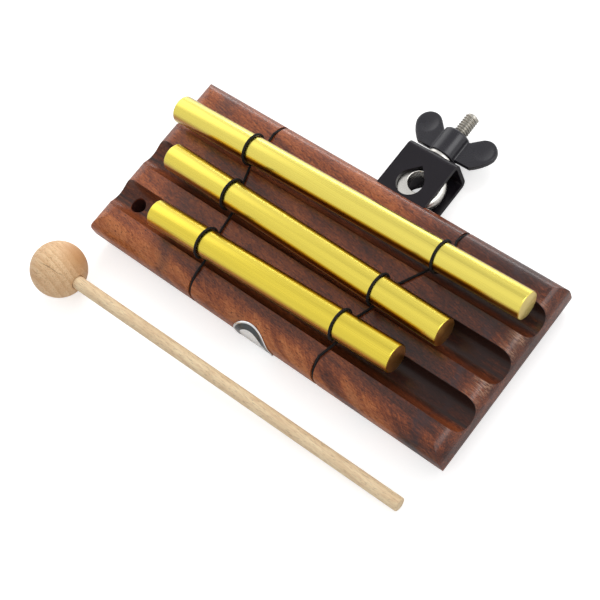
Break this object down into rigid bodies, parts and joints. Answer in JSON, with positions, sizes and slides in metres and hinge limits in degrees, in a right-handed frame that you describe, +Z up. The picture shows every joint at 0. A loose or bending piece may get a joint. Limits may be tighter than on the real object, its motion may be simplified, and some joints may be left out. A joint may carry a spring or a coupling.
{
  "type": "table chime",
  "caption": "Metal rods hung on elastic cords over a grooved bull-nosed hardwood block, with a rod clamp on the back edge and a loose ball mallet.",
  "frame": {"origin": "centre of the block's flat underside, on the surface it stands on", "axes": "+X along the rods, +Y from the near side towards the clamp, +Z up"},
  "size_m": [0.2116, 0.1714, 0.0353],
  "materials": {
    "hardwood": "satin lacquer",
    "gold_rod": "satin anodised",
    "elastic": "matte braided",
    "black_steel": "satin",
    "black_nut": "satin",
    "nickel": "bright plated",
    "badge_face": "gloss",
    "mallet_ball_wood": "waxed",
    "mallet_stick_wood": "bare"
  },
  "bodies": {
    "base": {"block": "hardwood", "cord_left": "elastic", "cord_right": "elastic", "clamp_bracket": "black_steel", "clamp_screw_left": "nickel", "clamp_screw_right": "nickel", "washer": "nickel", "badge": "badge_face"},
    "bar_short": {"bar_short": "gold_rod"},
    "bar_mid": {"bar_mid": "gold_rod"},
    "bar_long": {"bar_long": "gold_rod"},
    "eyebolt": {"eyebolt": "nickel"},
    "wing_nut": {"wing_nut": "black_nut"},
    "mallet": {"mallet_head": "mallet_ball_wood", "mallet_stick": "mallet_stick_wood"}
  },
  "joints": [
    {"name": "bar_short_bounce", "type": "slide", "parent": "base", "child": "bar_short", "axis": [0, 0, 1], "range_m": [-0.002, 0.003], "stiffness_N_per_m": 1500, "springref_m": 0.0003, "deforming": ["cord_left", "cord_right"]},
    {"name": "bar_mid_bounce", "type": "slide", "parent": "base", "child": "bar_mid", "axis": [0, 0, 1], "range_m": [-0.002, 0.003], "stiffness_N_per_m": 1500, "springref_m": 0.00034, "deforming": ["cord_left", "cord_right"]},
    {"name": "bar_long_bounce", "type": "slide", "parent": "base", "child": "bar_long", "axis": [0, 0, 1], "range_m": [-0.002, 0.003], "stiffness_N_per_m": 1500, "springref_m": 0.00042, "deforming": ["cord_left", "cord_right"]},
    {"name": "wing_nut_turn", "type": "hinge", "parent": "base", "child": "wing_nut", "pos_m": [0.0151, 0.075, 0.00875], "axis": [0, 1, 0], "range_deg": [0, 1170]},
    {"name": "eyebolt_slide", "type": "slide", "parent": "base", "child": "eyebolt", "axis": [0, -1, 0], "range_m": [0, 0.00413]},
    {"name": "mallet_lift", "type": "slide", "parent": "base", "child": "mallet", "axis": [0, 0, 1], "range_m": [0, 0.12]}
  ],
  "couplings": [
    {"joint": "wing_nut_turn", "follows": "eyebolt_slide", "rad_per_m": 4947.4}
  ]
}
